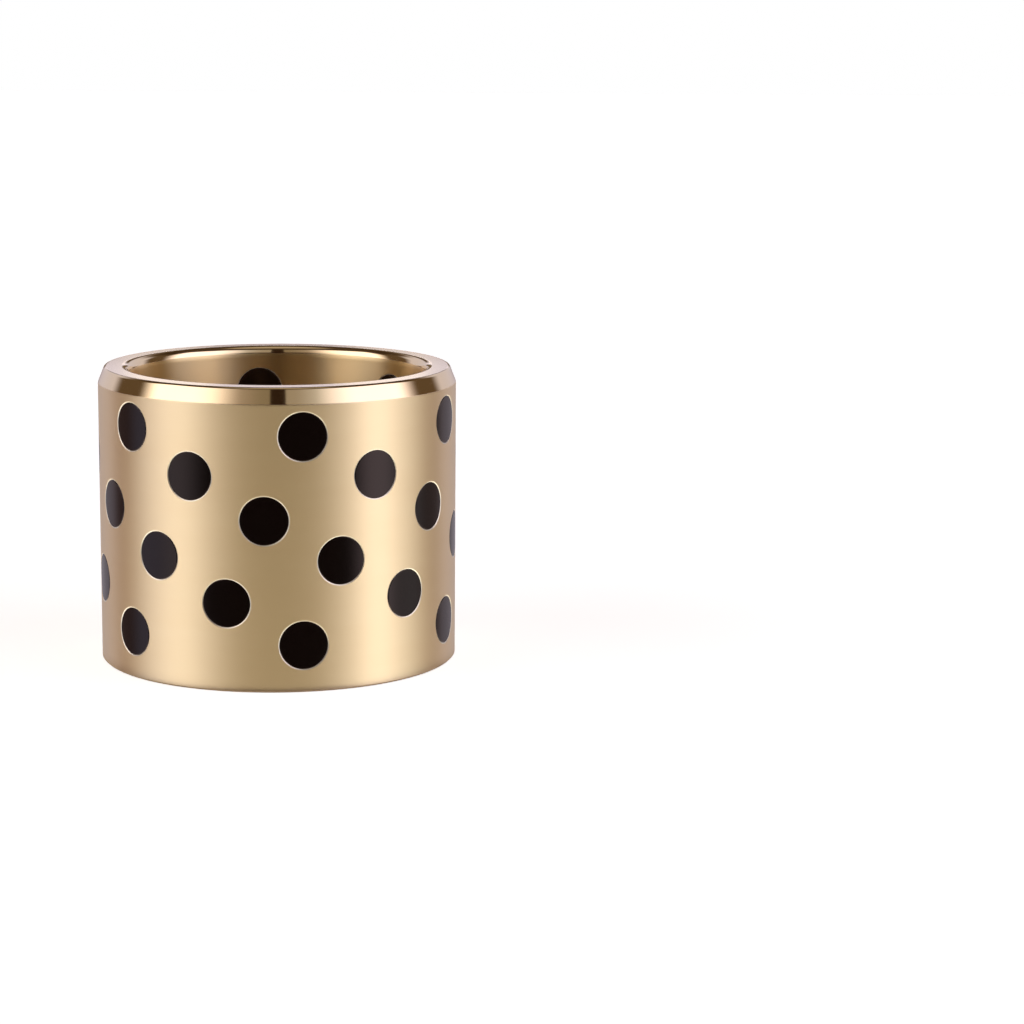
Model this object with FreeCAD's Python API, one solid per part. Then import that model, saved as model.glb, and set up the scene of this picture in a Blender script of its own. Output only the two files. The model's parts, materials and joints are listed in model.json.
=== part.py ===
# Oilless plain bearing: a bronze sleeve with graphite plugs pressed through its wall.
# Millimetres. The bushing stands on its plain end, with the origin at the centre of that end face.
# +Z runs up the bore to the end with the press-in lead, and -Y is the front.
import FreeCAD, Part
import math
import os

# Sleeve
BORE_DIAMETER = 70.0
WALL_THICKNESS = 7.5
LENGTH = 70.0

# Press-in lead: the long, shallow chamfer round the outside of the upper end
LEAD_HEIGHT = 3.8
LEAD_WIDTH = 1.5

# Shaft leads: the chamfer at each end of the bore, rolled over into the upper end face
SHAFT_LEAD_DEPTH = 2.0
SHAFT_LEAD_WIDTH = 0.8
SHAFT_LEAD_ROLL = 1.6

# Broken edge round the outside of the plain end
EDGE_BREAK = 0.4

# Graphite plugs: level rows round the sleeve, each row turned past the one above it.
# The first and last rows lie END_MARGIN from the ends, and the others are spread evenly between them.
PLUG_DIAMETER = 11.2
PLUG_ROWS = 6
PLUGS_PER_ROW = 6
END_MARGIN = 11.0
ROW_TURN_DEG = 24.0
FRONT_PLUG_DEG = 7.5

# Worked out from the sizes above
BORE_RADIUS = BORE_DIAMETER / 2
OUTER_RADIUS = BORE_RADIUS + WALL_THICKNESS
PLUG_RADIUS = PLUG_DIAMETER / 2
PLUG_SPACING_DEG = 360.0 / PLUGS_PER_ROW
ROW_PITCH = (LENGTH - 2 * END_MARGIN) / (PLUG_ROWS - 1)

CENTRE = FreeCAD.Vector(0, 0, 0)
UP = FreeCAD.Vector(0, 0, 1)
FRONT = FreeCAD.Vector(0, -1, 0)


def section_point(radius, height):
    """Point of the wall's section, which lies in the XZ plane on the +X side."""
    return FreeCAD.Vector(radius, 0, height)


def rolled_corner(before, corner, after, radius):
    """Arc that rounds the corner between two neighbouring points of an outline."""
    to_before = (before - corner).normalize()
    to_after = (after - corner).normalize()
    half_angle = to_before.getAngle(to_after) / 2
    tangent = radius / math.tan(half_angle)
    inward = (to_before + to_after).normalize()
    middle = corner + inward * (radius / math.sin(half_angle) - radius)
    return Part.Arc(corner + to_before * tangent, middle, corner + to_after * tangent).toShape()


def wall_section():
    """Section through the wall: bore, both end faces with their leads, and the outside."""
    mouth_radius = BORE_RADIUS + SHAFT_LEAD_WIDTH
    lead_rim = section_point(OUTER_RADIUS - LEAD_WIDTH, LENGTH)
    upper_mouth = section_point(mouth_radius, LENGTH)
    upper_bore_edge = section_point(BORE_RADIUS, LENGTH - SHAFT_LEAD_DEPTH)
    roll = rolled_corner(lead_rim, upper_mouth, upper_bore_edge, SHAFT_LEAD_ROLL)
    straights = Part.makePolygon([
        roll.Vertexes[-1].Point,
        upper_bore_edge,
        section_point(BORE_RADIUS, SHAFT_LEAD_DEPTH),
        section_point(mouth_radius, 0),
        section_point(OUTER_RADIUS - EDGE_BREAK, 0),
        section_point(OUTER_RADIUS, EDGE_BREAK),
        section_point(OUTER_RADIUS, LENGTH - LEAD_HEIGHT),
        lead_rim,
        roll.Vertexes[0].Point,
    ])
    return Part.Wire([*straights.Edges, roll])


def solid_wall():
    """Turned sleeve before its plug holes are drilled. Its seam runs down the +X side."""
    return Part.Face(wall_section()).revolve(CENTRE, UP, 360)


def row_height(row):
    """Height of a row's plug axes. Rows count down from 1 at the lead end."""
    return LENGTH - END_MARGIN - (row - 1) * ROW_PITCH


def plug_angle(row, place):
    """Turn of one plug about +Z, in degrees from the front, anticlockwise seen from above."""
    return FRONT_PLUG_DEG + (row - 1) * ROW_TURN_DEG + (place - 1) * PLUG_SPACING_DEG


def drill(height, angle):
    """Radial cylinder through one side of the wall, running past both of its surfaces."""
    inner_end = BORE_RADIUS - PLUG_RADIUS
    reach = WALL_THICKNESS + 2 * PLUG_RADIUS
    start = FRONT * inner_end + UP * height
    tool = Part.makeCylinder(PLUG_RADIUS, reach, start, FRONT)
    tool.rotate(CENTRE, UP, angle)
    return tool


def plug_blank(wall, row):
    """Plug of one row, at the front: what its hole takes out of the wall, so both ends lie flush."""
    return wall.common(drill(row_height(row), 0)).Solids[0]


def graphite_plugs(wall):
    """Every plug by name, each turned from its row's blank to its own place."""
    plugs = {}
    for row in range(1, PLUG_ROWS + 1):
        blank = plug_blank(wall, row)
        for place in range(1, PLUGS_PER_ROW + 1):
            plug = blank.copy()
            plug.rotate(CENTRE, UP, plug_angle(row, place))
            plugs[f"graphite_plug_row{row}_{place}"] = plug
    return plugs


def bronze_sleeve(wall):
    """Sleeve with one drilled hole for each plug, line to line with it."""
    drills = []
    for row in range(1, PLUG_ROWS + 1):
        for place in range(1, PLUGS_PER_ROW + 1):
            drills.append(drill(row_height(row), plug_angle(row, place)))
    return wall.cut(drills).Solids[0]


def main():
    wall = solid_wall()
    pieces = {"bronze_sleeve": bronze_sleeve(wall)}
    pieces.update(graphite_plugs(wall))
    os.makedirs("parts", exist_ok=True)
    for name, shape in pieces.items():
        shape.exportStep(f"parts/{name}.step")


main()
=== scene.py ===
import json
import math
from collections import namedtuple

import bpy
import numpy as np
from mathutils import Matrix, Vector
from mathutils.geometry import delaunay_2d_cdt


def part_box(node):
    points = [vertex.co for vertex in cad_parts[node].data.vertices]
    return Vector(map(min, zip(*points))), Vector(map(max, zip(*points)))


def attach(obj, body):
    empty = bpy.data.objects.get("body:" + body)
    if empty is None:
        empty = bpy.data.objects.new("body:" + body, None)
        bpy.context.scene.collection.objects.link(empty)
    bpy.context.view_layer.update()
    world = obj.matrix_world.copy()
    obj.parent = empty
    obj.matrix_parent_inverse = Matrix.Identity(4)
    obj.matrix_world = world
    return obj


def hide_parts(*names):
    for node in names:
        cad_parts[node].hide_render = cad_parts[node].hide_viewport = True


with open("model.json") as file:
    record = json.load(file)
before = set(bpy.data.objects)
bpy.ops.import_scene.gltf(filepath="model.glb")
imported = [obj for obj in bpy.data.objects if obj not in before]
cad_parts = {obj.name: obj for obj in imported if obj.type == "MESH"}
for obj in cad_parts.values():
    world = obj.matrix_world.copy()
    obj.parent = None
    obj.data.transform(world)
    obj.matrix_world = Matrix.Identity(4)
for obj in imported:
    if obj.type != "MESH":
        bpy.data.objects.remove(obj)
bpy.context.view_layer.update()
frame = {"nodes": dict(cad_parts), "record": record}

# One bushing, dressed as turned bronze with graphite plugs, in a studio like the photograph's
MM = 0.001
TURN = 2 * math.pi

# Sleeve and plugs, in millimetres, as the frame has them
SLEEVE_NODE = "bronze_sleeve"
PLUG_PREFIX = "graphite_plug_"
MOUNTS = {m["name"]: m for m in frame["record"]["mounts"]}
BORE_RADIUS = MOUNTS["shaft_bore"]["dims"]["r_mm"]
OUTER_RADIUS = MOUNTS["housing_fit"]["dims"]["r_mm"]
LENGTH = (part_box(SLEEVE_NODE)[1].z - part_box(SLEEVE_NODE)[0].z) / MM
PLUG_NODES = sorted(n for n in frame["nodes"] if n.startswith(PLUG_PREFIX))

# Leads and edges, in millimetres
LEAD_HEIGHT = 3.8
LEAD_WIDTH = 1.5
SHAFT_LEAD_DEPTH = 2.0
SHAFT_LEAD_WIDTH = 0.8
SHAFT_LEAD_ROLL = 1.6
LEAD_RIM_ROUND = 0.75
LEAD_FOOT_ROUND = 1.5
BORE_EDGE_ROUND = 4.5
LOWER_EDGE_BREAK = 0.4
LOWER_EDGE_ROUND = 0.15
MOUTH_BREAK_WIDTH = 0.22
MOUTH_BREAK_DEPTH = 0.1
MOUTH_BREAK_LEAN = 0.45
PLUG_EDGE_ROUND = 0.2
PLUG_PLAY = 0.01

# Rounded edges that keep the wall's or the bore's finish reach this far from it, in millimetres
BORE_EDGE_REACH = 0.15
FOOT_REACH = 0.12

# Plain strips between the turned edges and the pierced walls, in millimetres
WALL_STRIP = 0.3
BORE_STRIP = 1.0

# Mesh density, with gaps in millimetres
RING_SEGMENTS = 288
ARC_STEPS = 6
FOOT_STEPS = 4
MOUTH_SEGMENTS = 64
COLLAR_SEGMENTS = 32
COLLAR_GAP = 0.9
FILL_ROWS = 28
FILL_COLUMNS = 144
FILL_CLEARANCE = 1.7
PLUG_RING_SHARES = (0.02, 0.25, 0.5, 0.75, 1.0)

# Triangulation of the pierced walls: only what lies inside the outline, with this tolerance in
# millimetres. Triangles whose middle lies within this share of a mouth's radius are dropped.
INSIDE_ONLY = 1
TRIANGULATION_TOLERANCE = 1e-5
OPEN_SHARE = 0.997

# Camera, fitted to the photograph: the photograph's frame is square
CAMERA_DISTANCE = 0.68261
CAMERA_ELEVATION = math.radians(10.2786)
CAMERA_PAN = math.radians(4.7934)
CAMERA_TILT = math.radians(-0.0618)
CAMERA_ROLL = math.radians(0.4774)
CAMERA_LENS = 99.44
SENSOR_WIDTH = 36.0


class Surface:
    """Faces of several patches, with one normal for each corner, to be joined into one mesh."""

    def __init__(self):
        self.points = []
        self.faces = []
        self.normals = []
        self.finishes = []

    def add(self, points, faces, normals, finish=0):
        """Adds a patch with one normal for each point, and turns its faces to the normals' side."""
        base = len(self.points)
        self.points.extend(points)
        for face in faces:
            a, b, c = (points[i] for i in face[:3])
            if np.cross(b - a, c - a) @ sum(normals[i] for i in face) < 0:
                face = face[::-1]
            self.faces.append([base + i for i in face])
            self.normals.extend(normals[i] for i in face)
            self.finishes.append(finish)

    def to_object(self, name, materials):
        """Joins the patches at their shared points and makes the Blender object."""
        rounded = np.round(np.array(self.points), 6)
        unique, index = np.unique(rounded, axis=0, return_inverse=True)
        index = index.ravel()
        mesh = bpy.data.meshes.new(name)
        faces = [[int(index[i]) for i in face] for face in self.faces]
        mesh.from_pydata((unique * MM).tolist(), [], faces)
        for material in materials:
            mesh.materials.append(material)
        mesh.polygons.foreach_set("material_index", self.finishes)
        mesh.shade_smooth()
        mesh.normals_split_custom_set([Vector(n).normalized() for n in self.normals])
        mesh.update()
        piece = bpy.data.objects.new(name, mesh)
        bpy.context.scene.collection.objects.link(piece)
        return piece


def outward(angle):
    """Horizontal unit vector at an angle from the front, anticlockwise seen from above."""
    return np.array([math.sin(angle), -math.cos(angle), 0.0])


def sideways(angle):
    """Horizontal unit vector along the wall at an angle from the front."""
    return np.array([math.cos(angle), math.sin(angle), 0.0])


UP = np.array([0.0, 0.0, 1.0])


def plug_place(node):
    """Angle and height of a plug's axis, from the centroid of its surface in the frame."""
    mesh = frame["nodes"][node].data
    total = Vector((0, 0, 0))
    area = 0.0
    for polygon in mesh.polygons:
        total += polygon.center * polygon.area
        area += polygon.area
    centre = total / area / MM
    return math.atan2(centre.x, -centre.y), centre.z


def plug_radius(node):
    """Radius of a plug, from its height in the frame."""
    low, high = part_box(node)
    return (high.z - low.z) / 2 / MM


PLUGS = {node: plug_place(node) for node in PLUG_NODES}
PLUG_RADIUS = plug_radius(PLUG_NODES[0])
MOUTH_RADIUS = PLUG_RADIUS + MOUTH_BREAK_WIDTH
COLLAR_RADIUS = MOUTH_RADIUS + COLLAR_GAP


def wrapped(angle):
    """Angle brought to within half a turn of zero."""
    return (angle + math.pi) % TURN - math.pi


def seam_angle(height):
    """Angle of the slanting line that runs down the wall midway between two diagonals of plugs."""
    first, first_height = PLUGS[PLUG_PREFIX + "row1_1"]
    second, second_height = PLUGS[PLUG_PREFIX + "row2_1"]
    beside = PLUGS[PLUG_PREFIX + "row1_2"][0]
    slope = wrapped(second - first) / (first_height - second_height)
    return first + wrapped(beside - first) / 2 + slope * (first_height - height)


def profile_arc(before, corner, after, radius, steps):
    """Points and normals of a rounded corner. The normals lie right of the profile's way."""
    corner = np.array(corner, float)
    a = np.array(before, float) - corner
    b = np.array(after, float) - corner
    a /= np.linalg.norm(a)
    b /= np.linalg.norm(b)
    half = math.acos(float(np.clip(a @ b, -1, 1))) / 2
    centre = corner + (a + b) / np.linalg.norm(a + b) * radius / math.sin(half)
    start = corner + a * radius / math.tan(half)
    right = np.array([-a[1], a[0]])
    side = 1.0 if (start - centre) @ right > 0 else -1.0
    turn = (math.pi - 2 * half) * side
    out = []
    for i in range(steps + 1):
        t = turn * i / steps
        x, y = start - centre
        spoke = np.array([math.cos(t) * x - math.sin(t) * y, math.sin(t) * x + math.cos(t) * y])
        out.append((centre + spoke, spoke / radius * side))
    return out


def rounded_profile(start, corners, end):
    """Points and normals along a (radius, height) profile, each corner rounded by its own radius."""
    points = [start] + [c[0] for c in corners] + [end]
    out = []
    for i, (corner, radius, steps) in enumerate(corners, start=1):
        arc = profile_arc(points[i - 1], corner, points[i + 1], radius, steps)
        if not out:
            out.append((np.array(start, float), arc[0][1]))
        out.extend(arc)
    out.append((np.array(end, float), out[-1][1]))
    return out


def add_revolved(surface, profile, finish_of):
    """Turns a profile about Z into rings of quads. finish_of gives a strip's finish from its middle."""
    step = TURN / RING_SEGMENTS
    for (p, n), (q, m) in zip(profile, profile[1:]):
        points, normals = [], []
        for (radius, height), (across, rise) in ((p, n), (q, m)):
            for j in range(RING_SEGMENTS):
                out = outward(j * step)
                points.append(out * radius + UP * height)
                normals.append(out * across + UP * rise)
        faces = []
        for j in range(RING_SEGMENTS):
            k = (j + 1) % RING_SEGMENTS
            faces.append([j, k, RING_SEGMENTS + k, RING_SEGMENTS + j])
        surface.add(points, faces, normals, finish_of((p[0] + q[0]) / 2, (p[1] + q[1]) / 2))


def mouth_points(angle, height, rim, radius, depth=0.0):
    """Ring round a plug's axis at the given rim radius, on a round wall or at a depth below it."""
    points = []
    for i in range(MOUTH_SEGMENTS):
        a = TURN * i / MOUTH_SEGMENTS
        u = rim * math.cos(a)
        v = rim * math.sin(a)
        along = math.sqrt(radius * radius - u * u) - depth
        points.append(outward(angle) * along + sideways(angle) * u + UP * (height + v))
    return points


def wall_outline(radius, low, high):
    """Outline of the unrolled wall, cut along the slanting seam: its points, edges and left side."""
    step = TURN / RING_SEGMENTS
    start_low = round(seam_angle(low) / step) * step
    start_high = round(seam_angle(high) / step) * step
    lower = [(radius * (start_low + j * step), low) for j in range(RING_SEGMENTS + 1)]
    upper = [(radius * (start_high + j * step), high) for j in range(RING_SEGMENTS + 1)]
    left = []
    for i in range(1, FILL_ROWS):
        t = i / FILL_ROWS
        left.append((radius * (start_low + (start_high - start_low) * t), low + (high - low) * t))
    right = [(s + radius * TURN, z) for s, z in left]
    points = lower + right + upper[::-1] + left[::-1]
    edges = [(i, (i + 1) % len(points)) for i in range(len(points))]
    return points, edges, left


def inside_domain(angle, height, radius, left, low, high):
    """Angle of a plug moved by whole turns so that it lies right of the seam."""
    heights = [low] + [z for _, z in left] + [high]
    step = left[1][0] - left[0][0]
    starts = [left[0][0] - step] + [s for s, _ in left] + [left[-1][0] + step]
    seam = float(np.interp(height, heights, starts)) / radius
    return seam + (angle - seam) % TURN


def unrolled_ring(angle, height, rim, radius, count):
    """Ring round a plug's axis at the given rim radius, on the unrolled wall."""
    ring = []
    for i in range(count):
        a = TURN * i / count
        turn = angle + math.asin(rim * math.cos(a) / radius)
        ring.append((radius * turn, height + rim * math.sin(a)))
    return ring


def fill_points(radius, left, hole_s, hole_z):
    """Points spread over the unrolled wall, clear of every mouth."""
    points = []
    for s_left, z in left:
        for j in range(1, FILL_COLUMNS):
            s = s_left + radius * TURN * j / FILL_COLUMNS
            away = np.abs(hole_s - s)
            away = np.minimum(away, radius * TURN - away)
            if np.min(np.hypot(away, hole_z - z)) > MOUTH_RADIUS + FILL_CLEARANCE:
                points.append((s, z))
    return points


def triangulated(points, edges):
    """Points and faces of the unrolled wall. Points that were given come back exactly."""
    flat = [Vector(p) for p in points]
    result = delaunay_2d_cdt(flat, edges, [], INSIDE_ONLY, TRIANGULATION_TOLERANCE)
    exact = []
    for found, sources in zip(result[0], result[3]):
        exact.append(points[sources[0]] if sources else tuple(found))
    return np.array(exact), result[2]


def add_wall(surface, radius, low, high, facing, finish):
    """Round wall with a round opening for each plug. facing is 1 outside and -1 in the bore."""
    points, edges, left = wall_outline(radius, low, high)
    holes = []
    for angle, height in PLUGS.values():
        at = inside_domain(angle, height, radius, left, low, high)
        holes.append((radius * at, height))
        base = len(points)
        points.extend(unrolled_ring(at, height, MOUTH_RADIUS, radius, MOUTH_SEGMENTS))
        for i in range(MOUTH_SEGMENTS):
            edges.append((base + i, base + (i + 1) % MOUTH_SEGMENTS))
        points.extend(unrolled_ring(at, height, COLLAR_RADIUS, radius, COLLAR_SEGMENTS))
    hole_s, hole_z = np.array(holes).T
    points.extend(fill_points(radius, left, hole_s, hole_z))
    flat, triangles = triangulated(points, edges)
    faces = []
    for face in triangles:
        middle = flat[list(face)].mean(axis=0)
        across = radius * np.sin((middle[0] - hole_s) / radius)
        if np.min(np.hypot(across, middle[1] - hole_z)) > MOUTH_RADIUS * OPEN_SHARE:
            faces.append(list(face))
    spots, normals = [], []
    for s, z in flat:
        out = outward(s / radius)
        spots.append(out * radius + UP * z)
        normals.append(out * facing)
    surface.add(spots, faces, normals, finish)


def add_ring_strip(surface, rings, normals, finish=0):
    """Quads between neighbouring closed rings of points."""
    count = len(rings[0])
    for a, b, n, m in zip(rings, rings[1:], normals, normals[1:]):
        faces = []
        for i in range(count):
            k = (i + 1) % count
            faces.append([i, k, count + k, count + i])
        surface.add(list(a) + list(b), faces, list(n) + list(m), finish)


def add_hole(surface, angle, height, finish):
    """Drilled hole through the wall for one plug, its edges lightly broken at both mouths."""
    toward = []
    for i in range(MOUTH_SEGMENTS):
        a = TURN * i / MOUTH_SEGMENTS
        toward.append(-(sideways(angle) * math.cos(a) + UP * math.sin(a)))
    out = outward(angle)
    rings = [
        mouth_points(angle, height, MOUTH_RADIUS, OUTER_RADIUS),
        mouth_points(angle, height, PLUG_RADIUS, OUTER_RADIUS, MOUTH_BREAK_DEPTH),
        mouth_points(angle, height, PLUG_RADIUS, BORE_RADIUS, -MOUTH_BREAK_DEPTH),
        mouth_points(angle, height, MOUTH_RADIUS, BORE_RADIUS),
    ]
    outer = [out + t * MOUTH_BREAK_LEAN for t in toward]
    inner = [t * MOUTH_BREAK_LEAN - out for t in toward]
    # The hole's finish, pale in the sleeve, paints a highlight ring at both mouths round the plug.
    add_ring_strip(surface, rings[:2], [outer, outer], finish)
    add_ring_strip(surface, rings[1:3], [toward, toward], finish)
    add_ring_strip(surface, rings[2:], [inner, inner], finish)


def sleeve_piece(materials):
    """Sleeve as one closed mesh: both ends revolved, both walls pierced, and a hole for each plug."""
    surface = Surface()
    # The fourth finish, for the hole mouths, is a pale painted highlight round each plug.
    wall, bright, bore, edge_highlight = range(4)
    mouth = BORE_RADIUS + SHAFT_LEAD_WIDTH
    lead_foot = (OUTER_RADIUS, LENGTH - LEAD_HEIGHT)
    lead_rim = (OUTER_RADIUS - LEAD_WIDTH, LENGTH)
    wall_top = LENGTH - LEAD_HEIGHT - WALL_STRIP
    wall_low = LOWER_EDGE_BREAK + WALL_STRIP
    bore_top = LENGTH - SHAFT_LEAD_DEPTH - BORE_STRIP
    bore_low = SHAFT_LEAD_DEPTH + BORE_STRIP
    upper = rounded_profile(
        (OUTER_RADIUS, wall_top),
        [
            (lead_foot, LEAD_FOOT_ROUND, FOOT_STEPS),
            (lead_rim, LEAD_RIM_ROUND, ARC_STEPS),
            ((mouth, LENGTH), SHAFT_LEAD_ROLL, ARC_STEPS * 2),
            ((BORE_RADIUS, LENGTH - SHAFT_LEAD_DEPTH), BORE_EDGE_ROUND, ARC_STEPS),
        ],
        (BORE_RADIUS, bore_top),
    )
    lower = rounded_profile(
        (BORE_RADIUS, bore_low),
        [
            ((BORE_RADIUS, SHAFT_LEAD_DEPTH), BORE_EDGE_ROUND, ARC_STEPS),
            ((mouth, 0), LOWER_EDGE_ROUND, ARC_STEPS),
            ((OUTER_RADIUS - LOWER_EDGE_BREAK, 0), LOWER_EDGE_ROUND, ARC_STEPS),
            ((OUTER_RADIUS, LOWER_EDGE_BREAK), LOWER_EDGE_ROUND, ARC_STEPS),
        ],
        (OUTER_RADIUS, wall_low),
    )

    def finish_of(radius, height):
        if radius < BORE_RADIUS + BORE_EDGE_REACH:
            return bore
        if radius > OUTER_RADIUS - FOOT_REACH and height < lead_foot[1] + FOOT_REACH:
            return wall
        return bright

    add_revolved(surface, upper, finish_of)
    add_revolved(surface, lower, finish_of)
    add_wall(surface, OUTER_RADIUS, wall_low, wall_top, 1, wall)
    # The bore's wall takes the bore bronze, whose colour holds a painted warm shade tint.
    add_wall(surface, BORE_RADIUS, bore_low, bore_top, -1, bore)
    for angle, height in PLUGS.values():
        add_hole(surface, angle, height, edge_highlight)
    return surface.to_object("sleeve", materials)


def plug_end(angle, height, radius, facing):
    """Rings and normals of a plug's end, from its centre to its side. facing is as for the walls."""
    rim = PLUG_RADIUS - PLUG_PLAY
    flat = rim - PLUG_EDGE_ROUND
    rings, normals = [], []
    for share in PLUG_RING_SHARES:
        ring = mouth_points(angle, height, flat * share, radius)
        rings.append(ring)
        normals.append([facing * np.array([p[0], p[1], 0]) / radius for p in ring])
    for i in range(1, ARC_STEPS + 1):
        lean = math.pi / 2 * i / ARC_STEPS
        reach = flat + PLUG_EDGE_ROUND * math.sin(lean)
        drop = PLUG_EDGE_ROUND * (1 - math.cos(lean)) * facing
        ring = mouth_points(angle, height, reach, radius, drop)
        rings.append(ring)
        row = []
        for k, p in enumerate(ring):
            a = TURN * k / MOUTH_SEGMENTS
            away = sideways(angle) * math.cos(a) + UP * math.sin(a)
            face = facing * np.array([p[0], p[1], 0]) / radius
            row.append(face * math.cos(lean) + away * math.sin(lean))
        normals.append(row)
    return rings, normals


def plug_piece(node, material):
    """Plug as one closed mesh with both ends turned flush with the walls."""
    angle, height = PLUGS[node]
    surface = Surface()
    outer_rings, outer_normals = plug_end(angle, height, OUTER_RADIUS, 1)
    inner_rings, inner_normals = plug_end(angle, height, BORE_RADIUS, -1)
    fan = [[0, 1 + i, 1 + (i + 1) % MOUTH_SEGMENTS] for i in range(MOUTH_SEGMENTS)]
    for rings, normals in ((outer_rings, outer_normals), (inner_rings, inner_normals)):
        centre = np.mean(rings[0], axis=0)
        surface.add([centre] + rings[0], fan, [np.mean(normals[0], axis=0)] + normals[0])
        add_ring_strip(surface, rings, normals)
    sides = [outer_rings[-1], inner_rings[-1]]
    add_ring_strip(surface, sides, [outer_normals[-1], inner_normals[-1]])
    return surface.to_object(node.replace(PLUG_PREFIX, "plug_"), [material])


# Materials
WALL_COLOURS = ((0.94, 0.75, 0.48), (0.97, 0.79, 0.52))
# The bore's bronze has less blue than the wall's: the warmer tone of light in the shaded bore, painted
# into its colour.
BORE_SHADE_TINT_COLOURS = ((0.95, 0.73, 0.40), (0.98, 0.78, 0.45))
# Near-white bronze of the hole mouths: a painted highlight, a pale ring round every plug.
EDGE_HIGHLIGHT_COLOURS = ((0.97, 0.89, 0.74), (1.0, 0.93, 0.80))
GRAPHITE_COLOURS = ((0.0006, 0.0004, 0.0004), (0.002, 0.0015, 0.0015))
GRAPHITE_SHEEN = (1.0, 0.74, 0.70, 1)

# Noise per metre, across and along the tool's path, and the depth of its marks in metres
GROOVES = (5200.0, 60.0)
TONES = (240.0, 45.0)
MARK_DEPTH = 0.00002


def node_tree(material):
    """Node tree of a material, cleared to a shader and its output."""
    material.use_nodes = True
    tree = material.node_tree
    tree.nodes.clear()
    shader = tree.nodes.new("ShaderNodeBsdfPrincipled")
    output = tree.nodes.new("ShaderNodeOutputMaterial")
    tree.links.new(shader.outputs["BSDF"], output.inputs["Surface"])
    return tree, shader


def math_node(tree, operation, *values):
    """Math node whose inputs are numbers or sockets."""
    node = tree.nodes.new("ShaderNodeMath")
    node.operation = operation
    for socket, value in zip(node.inputs, values):
        if isinstance(value, (int, float)):
            socket.default_value = value
        else:
            tree.links.new(value, socket)
    return node.outputs[0]


def turned_coordinates(tree, streak, drift):
    """Coordinates that change fast across the tool's path, by axis and radius, and slowly along it."""
    place = tree.nodes.new("ShaderNodeTexCoord").outputs["Object"]
    split = tree.nodes.new("ShaderNodeSeparateXYZ")
    tree.links.new(place, split.inputs[0])
    x, y, z = split.outputs
    x_squared = math_node(tree, "MULTIPLY", x, x)
    y_squared = math_node(tree, "MULTIPLY", y, y)
    radius = math_node(tree, "SQRT", math_node(tree, "ADD", x_squared, y_squared))
    join = tree.nodes.new("ShaderNodeCombineXYZ")
    across = math_node(tree, "MULTIPLY", math_node(tree, "ADD", radius, z), streak)
    tree.links.new(across, join.inputs[0])
    tree.links.new(math_node(tree, "MULTIPLY", x, drift), join.inputs[1])
    tree.links.new(math_node(tree, "MULTIPLY", y, drift), join.inputs[2])
    return join.outputs[0]


def noise(tree, coordinates, scale, detail, roughness=0.5):
    """Noise texture on given coordinates, as its factor socket."""
    node = tree.nodes.new("ShaderNodeTexNoise")
    node.inputs["Scale"].default_value = scale
    node.inputs["Detail"].default_value = detail
    node.inputs["Roughness"].default_value = roughness
    tree.links.new(coordinates, node.inputs["Vector"])
    return node.outputs["Fac"]


def spread(tree, factor, low, high):
    """Factor from 0 to 1 brought to a range."""
    node = tree.nodes.new("ShaderNodeMapRange")
    tree.links.new(factor, node.inputs["Value"])
    node.inputs["To Min"].default_value = low
    node.inputs["To Max"].default_value = high
    return node.outputs["Result"]


def blend_colours(tree, factor, dark, light):
    """Colour between two, by a factor."""
    node = tree.nodes.new("ShaderNodeMix")
    node.data_type = "RGBA"
    tree.links.new(factor, node.inputs["Factor"])
    node.inputs["A"].default_value = (*dark, 1)
    node.inputs["B"].default_value = (*light, 1)
    return node.outputs["Result"]


def bronze(name, colours, roughness, anisotropy, groove):
    """Turned bronze: fine rings left by the tool, which spread reflections across the rings."""
    material = bpy.data.materials.new(name)
    tree, shader = node_tree(material)
    streaks = noise(tree, turned_coordinates(tree, *GROOVES), 1.0, 3.0, 0.6)
    tone = noise(tree, turned_coordinates(tree, *TONES), 1.0, 3.0)
    tree.links.new(blend_colours(tree, tone, *colours), shader.inputs["Base Color"])
    tree.links.new(spread(tree, streaks, roughness * 0.9, roughness * 1.1), shader.inputs["Roughness"])
    shader.inputs["Metallic"].default_value = 1.0
    shader.inputs["Anisotropic"].default_value = anisotropy
    shader.inputs["Anisotropic Rotation"].default_value = 0.25
    tangent = tree.nodes.new("ShaderNodeTangent")
    tangent.direction_type = "RADIAL"
    tangent.axis = "Z"
    tree.links.new(tangent.outputs[0], shader.inputs["Tangent"])
    bump = tree.nodes.new("ShaderNodeBump")
    bump.inputs["Strength"].default_value = groove
    bump.inputs["Distance"].default_value = MARK_DEPTH
    tree.links.new(streaks, bump.inputs["Height"])
    tree.links.new(bump.outputs["Normal"], shader.inputs["Normal"])
    return material


def graphite():
    """Pressed graphite turned flush: nearly black, satin, with a fine grain."""
    material = bpy.data.materials.new("graphite")
    tree, shader = node_tree(material)
    place = tree.nodes.new("ShaderNodeTexCoord").outputs["Object"]
    grain = noise(tree, place, 2600.0, 4.0, 0.65)
    cloud = noise(tree, place, 260.0, 3.0)
    tree.links.new(blend_colours(tree, cloud, *GRAPHITE_COLOURS), shader.inputs["Base Color"])
    tree.links.new(spread(tree, grain, 0.15, 0.22), shader.inputs["Roughness"])
    shader.inputs["IOR"].default_value = 1.6
    shader.inputs["Specular Tint"].default_value = GRAPHITE_SHEEN
    bump = tree.nodes.new("ShaderNodeBump")
    bump.inputs["Strength"].default_value = 0.06
    bump.inputs["Distance"].default_value = MARK_DEPTH
    tree.links.new(grain, bump.inputs["Height"])
    tree.links.new(bump.outputs["Normal"], shader.inputs["Normal"])
    return material


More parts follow.
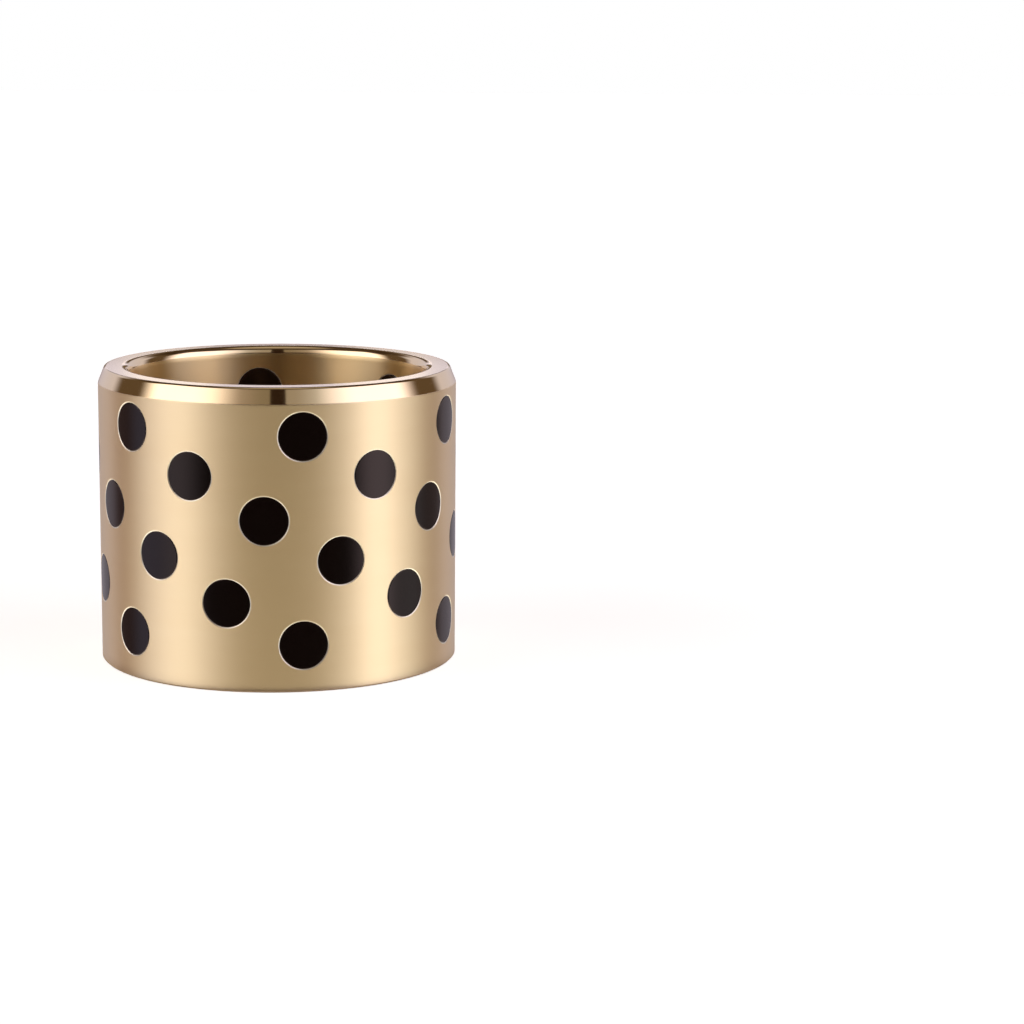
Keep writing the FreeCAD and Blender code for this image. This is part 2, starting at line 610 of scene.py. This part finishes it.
# Studio. Azimuths run from the front, positive to the right, and elevations from the horizon, both in
# degrees. Each light rises, holds and falls between its four azimuths, and likewise between its four
# elevations. A paired light stands on the left as well.
Light = namedtuple("Light", "colour azimuth elevation paired", defaults=[False])
ALL_ROUND = (-181, -180, 180, 181)
DARK_ROOM = (0.026, 0.014, 0.008)
LIGHTS = {
    "ceiling": Light((0.04, 0.03, 0.02), ALL_ROUND, (44, 52, 91, 92)),
    "overhead": Light((0.36, 0.32, 0.26), ALL_ROUND, (66, 76, 91, 92)),
    "left_box": Light((1.75, 1.62, 1.62), (-104, -86, -62, -24), (0, 12, 42, 52)),
    "right_box": Light((1.62, 1.50, 1.70), (24, 58, 86, 107), (0, 12, 42, 52)),
    "left_box_on_table": Light((0.77, 0.82, 0.99), (-104, -86, -62, -24), (-60, -44, -26, -18)),
    "right_box_on_table": Light((0.76, 0.84, 0.89), (24, 58, 88, 110), (-60, -44, -26, -18)),
    "left_low_inner": Light((0.60, 0.62, 0.66), (-84, -70, -66, -44), (-26, -18, 0, 12)),
    "left_low_outer": Light((0.40, 0.42, 0.54), (-112, -96, -84, -70), (-26, -18, 0, 12)),
    "left_wing": Light((0.16, 0.10, 0.09), (-140, -122, -112, -96), (-60, -40, 0, 12)),
    "right_low_inner": Light((1.09, 1.08, 1.14), (44, 62, 70, 84), (-26, -18, 0, 12)),
    "right_low_outer": Light((0.41, 0.43, 0.44), (70, 84, 96, 112), (-26, -18, 0, 12)),
    "right_wing": Light((0.19, 0.15, 0.14), (96, 112, 122, 140), (-60, -40, 0, 12)),
    "left_fill": Light((0.17, 0.14, 0.15), (-60, -40, -36, -8), (22, 30, 40, 48)),
    "right_fill": Light((0.22, 0.24, 0.29), (10, 34, 36, 60), (22, 30, 40, 48)),
    "left_of_camera": Light((0.21, 0.18, 0.13), (-60, -40, -6, -5), (22, 30, 40, 48)),
    "right_of_camera": Light((0.31, 0.28, 0.24), (5, 6, 30, 50), (22, 30, 40, 48)),
    "side_walls": Light((0.082, 0.056, 0.031), (80, 90, 181, 182), (-10, 0, 30, 50), paired=True),
    "table": Light((0.62, 0.55, 0.40), ALL_ROUND, (-91, -90, -54, -44)),
    "table_front": Light((1.42, 1.29, 0.98), ALL_ROUND, (-54, -44, -34, -20)),
    "near_table": Light((0.024, 0.017, 0.016), (-50, -30, 30, 50), (-42, -22, 12, 24)),
    "backdrop": Light((0.53, 0.53, 0.66), (122, 134, 164, 172), (-8, 4, 24, 36), paired=True),
    "backdrop_middle": Light((0.72, 0.72, 0.92), (164, 172, 181, 182), (6.98, 7.22, 9, 14), paired=True),
    "far_table_middle": Light((0.05, 0.035, 0.02), (164, 172, 181, 182), (-8, 4, 9, 14), paired=True),
    "rim_light": Light((0.42, 0.38, 0.26), (176.6, 177.2, 178.3, 179.0), (7.3, 7.5, 9, 14), paired=True),
    "backdrop_on_table": Light((0.40, 0.37, 0.42), (122, 134, 181, 182), (-60, -40, -8, 4), paired=True),
}


def soft_edge(tree, value, start, end, falling=False):
    """Smooth step between two values, up or down."""
    node = tree.nodes.new("ShaderNodeMapRange")
    node.interpolation_type = "SMOOTHSTEP"
    tree.links.new(value, node.inputs["Value"])
    node.inputs["From Min"].default_value = start
    node.inputs["From Max"].default_value = end
    node.inputs["To Min"].default_value = 1.0 if falling else 0.0
    node.inputs["To Max"].default_value = 0.0 if falling else 1.0
    return node.outputs["Result"]


def soft_window(tree, value, stops):
    """Window that rises, holds and falls between four values."""
    rise = soft_edge(tree, value, stops[0], stops[1])
    fall = soft_edge(tree, value, stops[2], stops[3], falling=True)
    return math_node(tree, "MULTIPLY", rise, fall)


def light_shares(tree, azimuth, elevation):
    """Colour of the studio in one direction: the dark room and every light that reaches there."""
    aside = math_node(tree, "ABSOLUTE", azimuth)
    total = tree.nodes.new("ShaderNodeRGB").outputs[0]
    total.default_value = (*DARK_ROOM, 1)
    for light in LIGHTS.values():
        across = soft_window(tree, aside if light.paired else azimuth, light.azimuth)
        window = math_node(tree, "MULTIPLY", across, soft_window(tree, elevation, light.elevation))
        share = tree.nodes.new("ShaderNodeVectorMath")
        share.operation = "SCALE"
        share.inputs[0].default_value = light.colour
        tree.links.new(window, share.inputs["Scale"])
        add = tree.nodes.new("ShaderNodeVectorMath")
        add.operation = "ADD"
        tree.links.new(total, add.inputs[0])
        tree.links.new(share.outputs[0], add.inputs[1])
        total = add.outputs[0]
    return total


def studio_material():
    """Walls of the studio, which glow with the light that comes from each direction."""
    material = bpy.data.materials.new("studio")
    material.use_nodes = True
    tree = material.node_tree
    tree.nodes.clear()
    direction = tree.nodes.new("ShaderNodeVectorMath")
    direction.operation = "NORMALIZE"
    tree.links.new(tree.nodes.new("ShaderNodeTexCoord").outputs["Object"], direction.inputs[0])
    split = tree.nodes.new("ShaderNodeSeparateXYZ")
    tree.links.new(direction.outputs[0], split.inputs[0])
    x, y, z = split.outputs
    to_front = math_node(tree, "MULTIPLY", y, -1.0)
    azimuth = math_node(tree, "DEGREES", math_node(tree, "ARCTAN2", x, to_front))
    elevation = math_node(tree, "DEGREES", math_node(tree, "ARCSINE", z))
    glow = tree.nodes.new("ShaderNodeEmission")
    tree.links.new(light_shares(tree, azimuth, elevation), glow.inputs["Color"])
    output = tree.nodes.new("ShaderNodeOutputMaterial")
    tree.links.new(glow.outputs[0], output.inputs["Surface"])
    material.cycles.emission_sampling = "NONE"
    return material


ROOM_SIZE = 100.0


def studio_room():
    """Closed room round the set, far off, that the camera sees through and the metal mirrors."""
    half = ROOM_SIZE / 2
    corners = [(x, y, z) for x in (-half, half) for y in (-half, half) for z in (-half, half)]
    walls = [(0, 1, 3, 2), (4, 6, 7, 5), (0, 4, 5, 1), (2, 3, 7, 6), (0, 2, 6, 4), (1, 5, 7, 3)]
    mesh = bpy.data.meshes.new("room")
    mesh.from_pydata(corners, [], walls)
    mesh.materials.append(studio_material())
    room = bpy.data.objects.new("room", mesh)
    bpy.context.scene.collection.objects.link(room)
    room.location = (0, 0, LENGTH * MM / 2)
    room.visible_camera = False


def white_world():
    """White behind the set, for the camera and for whatever mirrors or passes it."""
    world = bpy.data.worlds.new("white")
    bpy.context.scene.world = world
    world.use_nodes = True
    tree = world.node_tree
    tree.nodes.clear()
    light_path = tree.nodes.new("ShaderNodeLightPath").outputs
    seen = math_node(tree, "MAXIMUM", light_path["Is Camera Ray"], light_path["Is Glossy Ray"])
    seen = math_node(tree, "MAXIMUM", seen, light_path["Is Transmission Ray"])
    white = tree.nodes.new("ShaderNodeBackground")
    white.inputs["Color"].default_value = (1, 1, 1, 1)
    tree.links.new(seen, white.inputs["Strength"])
    output = tree.nodes.new("ShaderNodeOutputWorld")
    tree.links.new(white.outputs[0], output.inputs[0])


# Floor, in metres
FLOOR_SIZE = 8.0
FLOOR_LEVEL = -2e-5
FLOOR_COLOUR = 0.8
FLOOR_GLOW = 0.74
FOOTPRINT_RADIUS = 0.0437
FOOTPRINT_SEGMENTS = 96


def floor_material():
    """Pale floor that keeps the bushing's soft shadow and looks white around it."""
    material = bpy.data.materials.new("floor")
    tree, shader = node_tree(material)
    shader.inputs["Base Color"].default_value = (FLOOR_COLOUR, FLOOR_COLOUR, FLOOR_COLOUR, 1)
    shader.inputs["Roughness"].default_value = 1.0
    shader.inputs["Specular IOR Level"].default_value = 0.0
    shader.inputs["Emission Color"].default_value = (1, 1, 1, 1)
    seen = tree.nodes.new("ShaderNodeLightPath").outputs["Is Camera Ray"]
    tree.links.new(math_node(tree, "MULTIPLY", seen, FLOOR_GLOW), shader.inputs["Emission Strength"])
    return material


def floor_piece(name, corners, faces, material):
    """Flat piece of floor just under the bushing."""
    mesh = bpy.data.meshes.new(name)
    mesh.from_pydata([(x, y, FLOOR_LEVEL) for x, y in corners], [], faces)
    mesh.materials.append(material)
    piece = bpy.data.objects.new(name, mesh)
    bpy.context.scene.collection.objects.link(piece)
    return piece


def studio_floor():
    """Wide floor, which the metal doesn't mirror, and a disc of it under the bushing, which it does."""
    material = floor_material()
    half = FLOOR_SIZE / 2
    ring = []
    for i in range(FOOTPRINT_SEGMENTS):
        a = TURN * i / FOOTPRINT_SEGMENTS
        ring.append((FOOTPRINT_RADIUS * math.cos(a), FOOTPRINT_RADIUS * math.sin(a)))
    square = [(half, half), (-half, half), (-half, -half), (half, -half)]
    quarter = FOOTPRINT_SEGMENTS // 4
    outside = []
    for q in range(4):
        arc = [(q * quarter + i) % FOOTPRINT_SEGMENTS for i in range(quarter + 1)]
        before = FOOTPRINT_SEGMENTS + (q - 1) % 4
        corner = FOOTPRINT_SEGMENTS + q
        for i, k in zip(arc, arc[1:]):
            outside.append((k, i, corner))
        outside.append((arc[0], before, corner))
    wide = floor_piece("floor", ring + square, outside, material)
    wide.visible_glossy = False
    floor_piece("footprint", ring, [tuple(range(FOOTPRINT_SEGMENTS))], material)


def camera():
    """Camera at the photograph's place, aimed past the bushing as the photograph is."""
    data = bpy.data.cameras.new("camera")
    data.lens = CAMERA_LENS
    data.sensor_width = SENSOR_WIDTH
    piece = bpy.data.objects.new("camera", data)
    bpy.context.scene.collection.objects.link(piece)
    middle = Vector((0, 0, LENGTH * MM / 2))
    back = Vector((0, -math.cos(CAMERA_ELEVATION), math.sin(CAMERA_ELEVATION)))
    aim = Matrix.Rotation(-CAMERA_PAN, 4, "Z")
    aim = aim @ Matrix.Rotation(math.pi / 2 - CAMERA_ELEVATION + CAMERA_TILT, 4, "X")
    aim = aim @ Matrix.Rotation(CAMERA_ROLL, 4, "Z")
    piece.matrix_world = Matrix.Translation(middle + back * CAMERA_DISTANCE) @ aim
    bpy.context.scene.camera = piece


def build():
    """Dresses the sleeve and every plug, each in place of its solid."""
    finishes = [
        bronze("bronze_wall", WALL_COLOURS, 0.43, 0.68, 0.10),
        bronze("bronze_bright", WALL_COLOURS, 0.08, 0.5, 0.04),
        # Bore bronze: a rougher finish, and a colour that carries a painted warm shade tint.
        bronze("bronze_bore", BORE_SHADE_TINT_COLOURS, 0.33, 0.95, 0.06),
        # Pale bronze on the hole mouths: a painted highlight ring round each plug.
        bronze("bronze_edge", EDGE_HIGHLIGHT_COLOURS, 0.45, 0.0, 0.04),
    ]
    sleeve = sleeve_piece(finishes)
    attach(sleeve, "root")
    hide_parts(SLEEVE_NODE)
    black = graphite()
    for node in PLUG_NODES:
        plug = plug_piece(node, black)
        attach(plug, "root")
        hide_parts(node)


build()
white_world()
studio_room()
studio_floor()
camera()
bpy.context.scene.view_settings.view_transform = "Standard"
